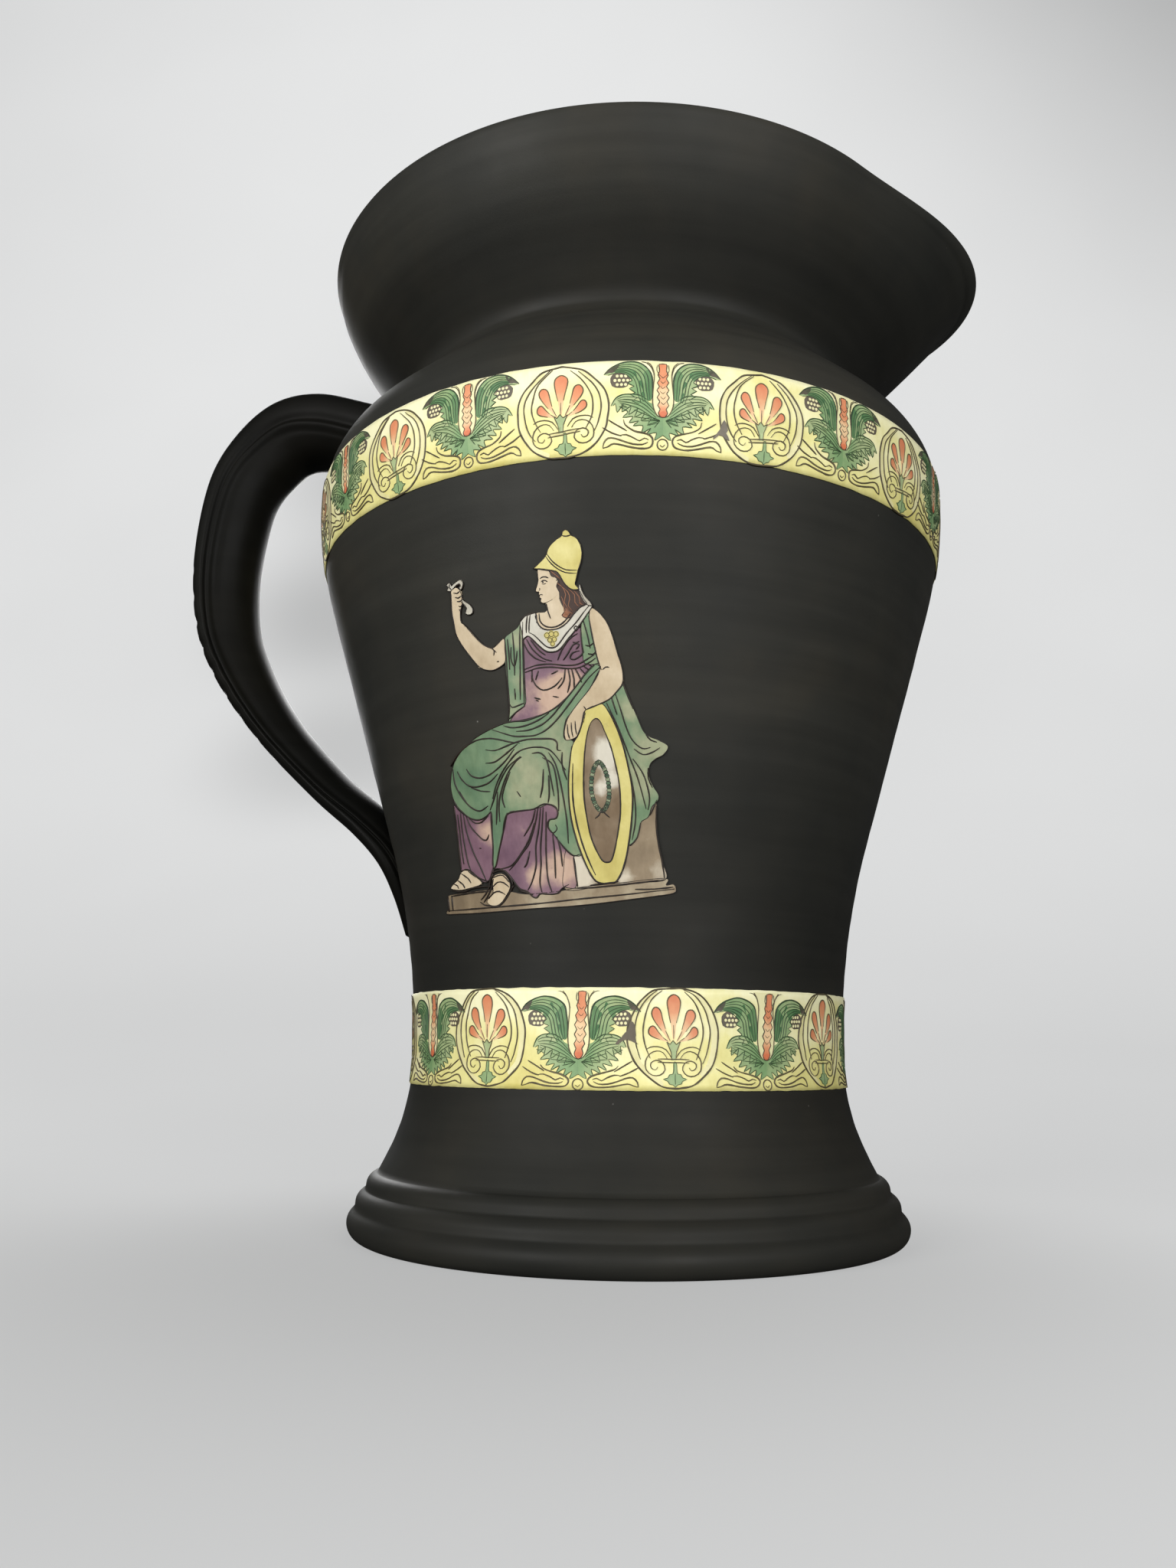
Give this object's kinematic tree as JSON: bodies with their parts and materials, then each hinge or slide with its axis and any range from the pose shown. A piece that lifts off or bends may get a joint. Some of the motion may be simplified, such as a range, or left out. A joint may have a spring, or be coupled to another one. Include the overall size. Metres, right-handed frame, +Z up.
{
  "type": "oinochoe jug",
  "caption": "Black stoneware jug with a flared neck, pouring lip and strap handle, banded with enamel friezes and a seated figure.",
  "frame": {"origin": "centre of the underside of the foot, on the surface that the jug stands on", "axes": "+Z up along the axis of the body, +X towards the pouring lip, -X towards the handle, -Y is the side with the figure"},
  "size_m": [0.1715, 0.1322, 0.2],
  "materials": {
    "black_stoneware": "matt, fine grained black stoneware",
    "yellow_enamel": "pale yellow enamel with printed ornament",
    "stone_enamel": "soft brown enamel",
    "purple_enamel": "purple enamel",
    "green_enamel": "green enamel",
    "flesh_enamel": "pale flesh enamel",
    "gold_enamel": "yellow enamel",
    "shield_enamel": "white and brown enamel"
  },
  "bodies": {
    "root": {"vessel_body": "black_stoneware", "neck": "black_stoneware", "handle": "black_stoneware", "upper_frieze": "yellow_enamel", "lower_frieze": "yellow_enamel", "figure_plinth": "stone_enamel", "figure_seat": "stone_enamel", "figure_tunic": "purple_enamel", "figure_mantle": "green_enamel", "figure_skin": "flesh_enamel", "figure_helmet": "gold_enamel", "figure_shield_rim": "gold_enamel", "figure_shield_field": "shield_enamel"}
  },
  "joints": []
}
